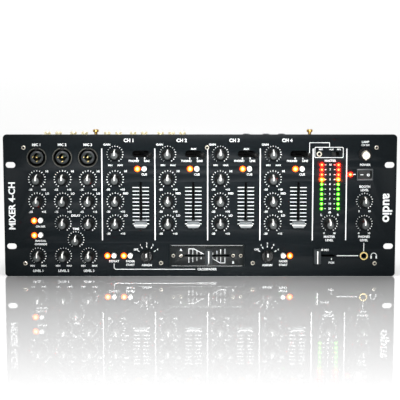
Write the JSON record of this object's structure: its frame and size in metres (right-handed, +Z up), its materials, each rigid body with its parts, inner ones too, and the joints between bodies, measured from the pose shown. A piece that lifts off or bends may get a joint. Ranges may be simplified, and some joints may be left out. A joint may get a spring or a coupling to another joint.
{
  "type": "dj mixer",
  "caption": "Rack-mount DJ mixer: black steel panel with rotary knobs, channel faders, crossfader, selector levers, push buttons and microphone sockets on a folded chassis.",
  "frame": {"origin": "under the middle of the mixer at the panel's bottom edge, midway between the knob faces and the chassis back", "axes": "+X along the panel to the right as the user faces it, +Y from the user into the mixer, +Z up"},
  "size_m": [0.4826, 0.0932, 0.1782],
  "materials": {
    "panel_black": "fine-textured matt black powder coat on steel",
    "chassis_black": "matt black coated folded steel",
    "plate_black": "satin black coated steel",
    "circuit_board": "green solder-masked board with soldered cases",
    "socket_plastic": "moulded black plastic",
    "connector_metal": "nickel-plated connectors on a board",
    "button_white": "satin white moulded plastic",
    "fader_cap_silver": "silver-painted moulded plastic",
    "rocker_black": "polished black plastic",
    "knob_black": "satin black moulded plastic with a white pointer"
  },
  "bodies": {
    "mixer": {"front_panel": "panel_black", "chassis": "chassis_black", "crossfader_plate": "plate_black", "control_board": "circuit_board", "mic_socket_board": "socket_plastic", "connector_board": "connector_metal"},
    "mic_1_high_knob": {"mic_1_high_knob": "knob_black"},
    "mic_1_low_knob": {"mic_1_low_knob": "knob_black"},
    "mic_1_level_knob": {"mic_1_level_knob": "knob_black"},
    "mic_2_high_knob": {"mic_2_high_knob": "knob_black"},
    "mic_2_low_knob": {"mic_2_low_knob": "knob_black"},
    "mic_2_delay_knob": {"mic_2_delay_knob": "knob_black"},
    "mic_2_level_knob": {"mic_2_level_knob": "knob_black"},
    "mic_3_high_knob": {"mic_3_high_knob": "knob_black"},
    "mic_3_low_knob": {"mic_3_low_knob": "knob_black"},
    "mic_3_delay_knob": {"mic_3_delay_knob": "knob_black"},
    "mic_3_level_knob": {"mic_3_level_knob": "knob_black"},
    "mic_delay_time_knob": {"mic_delay_time_knob": "knob_black"},
    "channel_1_gain_knob": {"channel_1_gain_knob": "knob_black"},
    "channel_1_high_knob": {"channel_1_high_knob": "knob_black"},
    "channel_1_mid_knob": {"channel_1_mid_knob": "knob_black"},
    "channel_1_low_knob": {"channel_1_low_knob": "knob_black"},
    "channel_2_gain_knob": {"channel_2_gain_knob": "knob_black"},
    "channel_2_high_knob": {"channel_2_high_knob": "knob_black"},
    "channel_2_mid_knob": {"channel_2_mid_knob": "knob_black"},
    "channel_2_low_knob": {"channel_2_low_knob": "knob_black"},
    "channel_3_gain_knob": {"channel_3_gain_knob": "knob_black"},
    "channel_3_high_knob": {"channel_3_high_knob": "knob_black"},
    "channel_3_mid_knob": {"channel_3_mid_knob": "knob_black"},
    "channel_3_low_knob": {"channel_3_low_knob": "knob_black"},
    "channel_4_gain_knob": {"channel_4_gain_knob": "knob_black"},
    "channel_4_high_knob": {"channel_4_high_knob": "knob_black"},
    "channel_4_mid_knob": {"channel_4_mid_knob": "knob_black"},
    "channel_4_low_knob": {"channel_4_low_knob": "knob_black"},
    "master_level_knob": {"master_level_knob": "knob_black"},
    "booth_level_knob": {"booth_level_knob": "knob_black"},
    "headphone_level_knob": {"headphone_level_knob": "knob_black"},
    "crossfader_assign_left_knob": {"crossfader_assign_left_knob": "knob_black"},
    "crossfader_assign_right_knob": {"crossfader_assign_right_knob": "knob_black"},
    "mic_on_air_button": {"mic_on_air_button": "button_white"},
    "mic_override_button": {"mic_override_button": "button_white"},
    "channel_1_cue_button": {"channel_1_cue_button": "button_white"},
    "channel_2_cue_button": {"channel_2_cue_button": "button_white"},
    "channel_3_cue_button": {"channel_3_cue_button": "button_white"},
    "channel_4_cue_button": {"channel_4_cue_button": "button_white"},
    "crossfader_defeat_button": {"crossfader_defeat_button": "button_white"},
    "fader_start_left_button": {"fader_start_left_button": "button_white"},
    "fader_start_right_button": {"fader_start_right_button": "button_white"},
    "channel_1_fader": {"channel_1_fader": "fader_cap_silver"},
    "channel_2_fader": {"channel_2_fader": "fader_cap_silver"},
    "channel_3_fader": {"channel_3_fader": "fader_cap_silver"},
    "channel_4_fader": {"channel_4_fader": "fader_cap_silver"},
    "crossfader": {"crossfader": "knob_black"},
    "cue_mix_fader": {"cue_mix_fader": "knob_black"},
    "channel_1_input_lever": {"channel_1_input_lever": "knob_black"},
    "channel_2_input_lever": {"channel_2_input_lever": "knob_black"},
    "channel_3_input_lever": {"channel_3_input_lever": "knob_black"},
    "channel_4_input_lever": {"channel_4_input_lever": "knob_black"},
    "aux_input_switch": {"aux_input_switch": "knob_black"},
    "power_rocker": {"power_rocker": "rocker_black"}
  },
  "joints": [
    {"name": "mic_1_high_knob_turn", "type": "hinge", "parent": "mixer", "child": "mic_1_high_knob", "pos_m": [-0.2002, -0.03065, 0.122], "axis": [0, 1, 0], "range_deg": [-150, 150]},
    {"name": "mic_1_low_knob_turn", "type": "hinge", "parent": "mixer", "child": "mic_1_low_knob", "pos_m": [-0.2002, -0.03065, 0.0944], "axis": [0, 1, 0], "range_deg": [-150, 150]},
    {"name": "mic_1_level_knob_turn", "type": "hinge", "parent": "mixer", "child": "mic_1_level_knob", "pos_m": [-0.2002, -0.03065, 0.026], "axis": [0, 1, 0], "range_deg": [-150, 150]},
    {"name": "mic_2_high_knob_turn", "type": "hinge", "parent": "mixer", "child": "mic_2_high_knob", "pos_m": [-0.1688, -0.03065, 0.122], "axis": [0, 1, 0], "range_deg": [-150, 150]},
    {"name": "mic_2_low_knob_turn", "type": "hinge", "parent": "mixer", "child": "mic_2_low_knob", "pos_m": [-0.1688, -0.03065, 0.0944], "axis": [0, 1, 0], "range_deg": [-150, 150]},
    {"name": "mic_2_delay_knob_turn", "type": "hinge", "parent": "mixer", "child": "mic_2_delay_knob", "pos_m": [-0.1688, -0.03065, 0.0668], "axis": [0, 1, 0], "range_deg": [-150, 150]},
    {"name": "mic_2_level_knob_turn", "type": "hinge", "parent": "mixer", "child": "mic_2_level_knob", "pos_m": [-0.1688, -0.03065, 0.026], "axis": [0, 1, 0], "range_deg": [-150, 150]},
    {"name": "mic_3_high_knob_turn", "type": "hinge", "parent": "mixer", "child": "mic_3_high_knob", "pos_m": [-0.1374, -0.03065, 0.122], "axis": [0, 1, 0], "range_deg": [-150, 150]},
    {"name": "mic_3_low_knob_turn", "type": "hinge", "parent": "mixer", "child": "mic_3_low_knob", "pos_m": [-0.1374, -0.03065, 0.0944], "axis": [0, 1, 0], "range_deg": [-150, 150]},
    {"name": "mic_3_delay_knob_turn", "type": "hinge", "parent": "mixer", "child": "mic_3_delay_knob", "pos_m": [-0.1374, -0.03065, 0.0668], "axis": [0, 1, 0], "range_deg": [-150, 150]},
    {"name": "mic_3_level_knob_turn", "type": "hinge", "parent": "mixer", "child": "mic_3_level_knob", "pos_m": [-0.1374, -0.03065, 0.026], "axis": [0, 1, 0], "range_deg": [-150, 150]},
    {"name": "mic_delay_time_knob_turn", "type": "hinge", "parent": "mixer", "child": "mic_delay_time_knob", "pos_m": [-0.1531, -0.03065, 0.0465], "axis": [0, 1, 0], "range_deg": [-150, 150]},
    {"name": "channel_1_gain_knob_turn", "type": "hinge", "parent": "mixer", "child": "channel_1_gain_knob", "pos_m": [-0.1042, -0.03065, 0.153], "axis": [0, 1, 0], "range_deg": [-150, 150]},
    {"name": "channel_1_high_knob_turn", "type": "hinge", "parent": "mixer", "child": "channel_1_high_knob", "pos_m": [-0.1042, -0.03065, 0.122], "axis": [0, 1, 0], "range_deg": [-150, 150]},
    {"name": "channel_1_mid_knob_turn", "type": "hinge", "parent": "mixer", "child": "channel_1_mid_knob", "pos_m": [-0.1042, -0.03065, 0.0944], "axis": [0, 1, 0], "range_deg": [-150, 150]},
    {"name": "channel_1_low_knob_turn", "type": "hinge", "parent": "mixer", "child": "channel_1_low_knob", "pos_m": [-0.1042, -0.03065, 0.0668], "axis": [0, 1, 0], "range_deg": [-150, 150]},
    {"name": "channel_2_gain_knob_turn", "type": "hinge", "parent": "mixer", "child": "channel_2_gain_knob", "pos_m": [-0.0396, -0.03065, 0.153], "axis": [0, 1, 0], "range_deg": [-150, 150]},
    {"name": "channel_2_high_knob_turn", "type": "hinge", "parent": "mixer", "child": "channel_2_high_knob", "pos_m": [-0.0396, -0.03065, 0.122], "axis": [0, 1, 0], "range_deg": [-150, 150]},
    {"name": "channel_2_mid_knob_turn", "type": "hinge", "parent": "mixer", "child": "channel_2_mid_knob", "pos_m": [-0.0396, -0.03065, 0.0944], "axis": [0, 1, 0], "range_deg": [-150, 150]},
    {"name": "channel_2_low_knob_turn", "type": "hinge", "parent": "mixer", "child": "channel_2_low_knob", "pos_m": [-0.0396, -0.03065, 0.0668], "axis": [0, 1, 0], "range_deg": [-150, 150]},
    {"name": "channel_3_gain_knob_turn", "type": "hinge", "parent": "mixer", "child": "channel_3_gain_knob", "pos_m": [0.025, -0.03065, 0.153], "axis": [0, 1, 0], "range_deg": [-150, 150]},
    {"name": "channel_3_high_knob_turn", "type": "hinge", "parent": "mixer", "child": "channel_3_high_knob", "pos_m": [0.025, -0.03065, 0.122], "axis": [0, 1, 0], "range_deg": [-150, 150]},
    {"name": "channel_3_mid_knob_turn", "type": "hinge", "parent": "mixer", "child": "channel_3_mid_knob", "pos_m": [0.025, -0.03065, 0.0944], "axis": [0, 1, 0], "range_deg": [-150, 150]},
    {"name": "channel_3_low_knob_turn", "type": "hinge", "parent": "mixer", "child": "channel_3_low_knob", "pos_m": [0.025, -0.03065, 0.0668], "axis": [0, 1, 0], "range_deg": [-150, 150]},
    {"name": "channel_4_gain_knob_turn", "type": "hinge", "parent": "mixer", "child": "channel_4_gain_knob", "pos_m": [0.0896, -0.03065, 0.153], "axis": [0, 1, 0], "range_deg": [-150, 150]},
    {"name": "channel_4_high_knob_turn", "type": "hinge", "parent": "mixer", "child": "channel_4_high_knob", "pos_m": [0.0896, -0.03065, 0.122], "axis": [0, 1, 0], "range_deg": [-150, 150]},
    {"name": "channel_4_mid_knob_turn", "type": "hinge", "parent": "mixer", "child": "channel_4_mid_knob", "pos_m": [0.0896, -0.03065, 0.0944], "axis": [0, 1, 0], "range_deg": [-150, 150]},
    {"name": "channel_4_low_knob_turn", "type": "hinge", "parent": "mixer", "child": "channel_4_low_knob", "pos_m": [0.0896, -0.03065, 0.0668], "axis": [0, 1, 0], "range_deg": [-150, 150]},
    {"name": "master_level_knob_turn", "type": "hinge", "parent": "mixer", "child": "master_level_knob", "pos_m": [0.1596, -0.03065, 0.0668], "axis": [0, 1, 0], "range_deg": [-150, 150]},
    {"name": "booth_level_knob_turn", "type": "hinge", "parent": "mixer", "child": "booth_level_knob", "pos_m": [0.2024, -0.03065, 0.0944], "axis": [0, 1, 0], "range_deg": [-150, 150]},
    {"name": "headphone_level_knob_turn", "type": "hinge", "parent": "mixer", "child": "headphone_level_knob", "pos_m": [0.2024, -0.03065, 0.0668], "axis": [0, 1, 0], "range_deg": [-150, 150]},
    {"name": "crossfader_assign_left_knob_turn", "type": "hinge", "parent": "mixer", "child": "crossfader_assign_left_knob", "pos_m": [-0.06585, -0.03065, 0.026], "axis": [0, 1, 0], "range_deg": [-60, 60]},
    {"name": "crossfader_assign_right_knob_turn", "type": "hinge", "parent": "mixer", "child": "crossfader_assign_right_knob", "pos_m": [0.08325, -0.03065, 0.026], "axis": [0, 1, 0], "range_deg": [-60, 60]},
    {"name": "mic_on_air_button_press", "type": "slide", "parent": "mixer", "child": "mic_on_air_button", "axis": [0, 1, 0], "range_m": [0, 0.0015], "stiffness_N_per_m": 400, "springref_m": -0.0003},
    {"name": "mic_override_button_press", "type": "slide", "parent": "mixer", "child": "mic_override_button", "axis": [0, 1, 0], "range_m": [0, 0.0015], "stiffness_N_per_m": 400, "springref_m": -0.0003},
    {"name": "channel_1_cue_button_press", "type": "slide", "parent": "mixer", "child": "channel_1_cue_button", "axis": [0, 1, 0], "range_m": [0, 0.0015], "stiffness_N_per_m": 400, "springref_m": -0.0003},
    {"name": "channel_2_cue_button_press", "type": "slide", "parent": "mixer", "child": "channel_2_cue_button", "axis": [0, 1, 0], "range_m": [0, 0.0015], "stiffness_N_per_m": 400, "springref_m": -0.0003},
    {"name": "channel_3_cue_button_press", "type": "slide", "parent": "mixer", "child": "channel_3_cue_button", "axis": [0, 1, 0], "range_m": [0, 0.0015], "stiffness_N_per_m": 400, "springref_m": -0.0003},
    {"name": "channel_4_cue_button_press", "type": "slide", "parent": "mixer", "child": "channel_4_cue_button", "axis": [0, 1, 0], "range_m": [0, 0.0015], "stiffness_N_per_m": 400, "springref_m": -0.0003},
    {"name": "crossfader_defeat_button_press", "type": "slide", "parent": "mixer", "child": "crossfader_defeat_button", "axis": [0, 1, 0], "range_m": [0, 0.0015], "stiffness_N_per_m": 400, "springref_m": -0.0003},
    {"name": "fader_start_left_button_press", "type": "slide", "parent": "mixer", "child": "fader_start_left_button", "axis": [0, 1, 0], "range_m": [0, 0.0015], "stiffness_N_per_m": 400, "springref_m": -0.0003},
    {"name": "fader_start_right_button_press", "type": "slide", "parent": "mixer", "child": "fader_start_right_button", "axis": [0, 1, 0], "range_m": [0, 0.0015], "stiffness_N_per_m": 400, "springref_m": -0.0003},
    {"name": "channel_1_fader_slide", "type": "slide", "parent": "mixer", "child": "channel_1_fader", "axis": [0, 0, 1], "range_m": [0, 0.045]},
    {"name": "channel_2_fader_slide", "type": "slide", "parent": "mixer", "child": "channel_2_fader", "axis": [0, 0, 1], "range_m": [0, 0.045]},
    {"name": "channel_3_fader_slide", "type": "slide", "parent": "mixer", "child": "channel_3_fader", "axis": [0, 0, 1], "range_m": [0, 0.045]},
    {"name": "channel_4_fader_slide", "type": "slide", "parent": "mixer", "child": "channel_4_fader", "axis": [0, 0, 1], "range_m": [0, 0.045]},
    {"name": "crossfader_slide", "type": "slide", "parent": "mixer", "child": "crossfader", "axis": [1, 0, 0], "range_m": [-0.0245, 0.0205]},
    {"name": "cue_mix_fader_slide", "type": "slide", "parent": "mixer", "child": "cue_mix_fader", "axis": [1, 0, 0], "range_m": [0, 0.018]},
    {"name": "channel_1_input_lever_tilt", "type": "hinge", "parent": "mixer", "child": "channel_1_input_lever", "pos_m": [-0.0725, -0.01765, 0.153], "axis": [0, 0, 1], "range_deg": [-56, 0]},
    {"name": "channel_2_input_lever_tilt", "type": "hinge", "parent": "mixer", "child": "channel_2_input_lever", "pos_m": [-0.0079, -0.01765, 0.153], "axis": [0, 0, 1], "range_deg": [-56, 0]},
    {"name": "channel_3_input_lever_tilt", "type": "hinge", "parent": "mixer", "child": "channel_3_input_lever", "pos_m": [0.0567, -0.01765, 0.153], "axis": [0, 0, 1], "range_deg": [-56, 0]},
    {"name": "channel_4_input_lever_tilt", "type": "hinge", "parent": "mixer", "child": "channel_4_input_lever", "pos_m": [0.1213, -0.01765, 0.153], "axis": [0, 0, 1], "range_deg": [-56, 0]},
    {"name": "aux_input_switch_slide", "type": "slide", "parent": "mixer", "child": "aux_input_switch", "axis": [1, 0, 0], "range_m": [0, 0.004]},
    {"name": "power_rocker_tilt", "type": "hinge", "parent": "mixer", "child": "power_rocker", "pos_m": [0.2024, -0.02725, 0.1274], "axis": [0, 0, 1], "range_deg": [0, 18]}
  ]
}
